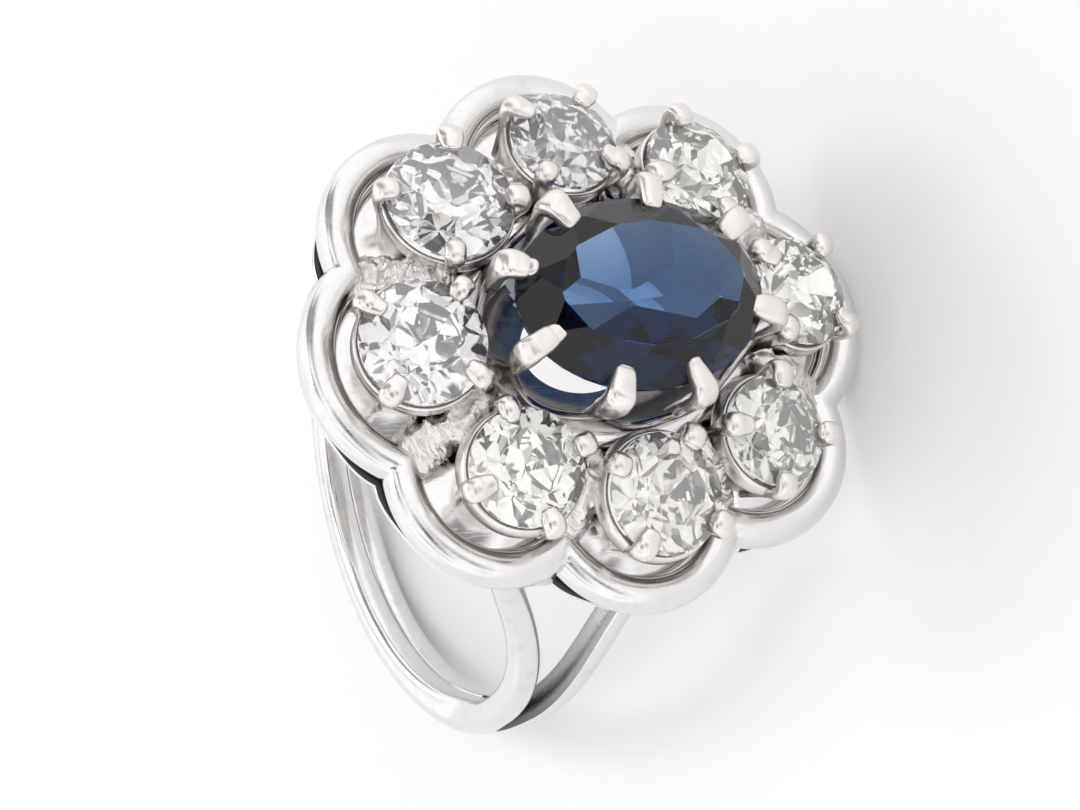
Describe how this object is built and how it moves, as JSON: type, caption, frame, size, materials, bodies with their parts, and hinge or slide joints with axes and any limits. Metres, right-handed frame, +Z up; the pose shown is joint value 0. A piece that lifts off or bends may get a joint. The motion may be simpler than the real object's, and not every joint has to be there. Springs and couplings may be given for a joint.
{
  "type": "cluster ring",
  "caption": "Finger ring of white metal: an oval blue sapphire in a ring of old-cut diamonds, within a scalloped border on forked shoulders. It lies on its side.",
  "frame": {"origin": "centre of the bottom of the box, on the surface that the ring lies on", "axes": "+Z is up. The cluster faces -Y and a little up, and the band trails to +Y. The finger's axis leans 26 degrees from Z."},
  "size_m": [0.0204, 0.0266, 0.0198],
  "materials": {
    "white_metal": "polished 18 carat white gold",
    "sapphire": "faceted and polished blue sapphire",
    "diamond": "faceted and polished diamond"
  },
  "bodies": {
    "root": {"setting": "white_metal", "sapphire": "sapphire", "diamond_1": "diamond", "diamond_2": "diamond", "diamond_3": "diamond", "diamond_4": "diamond", "diamond_5": "diamond", "diamond_6": "diamond", "diamond_7": "diamond", "diamond_8": "diamond"}
  },
  "joints": []
}
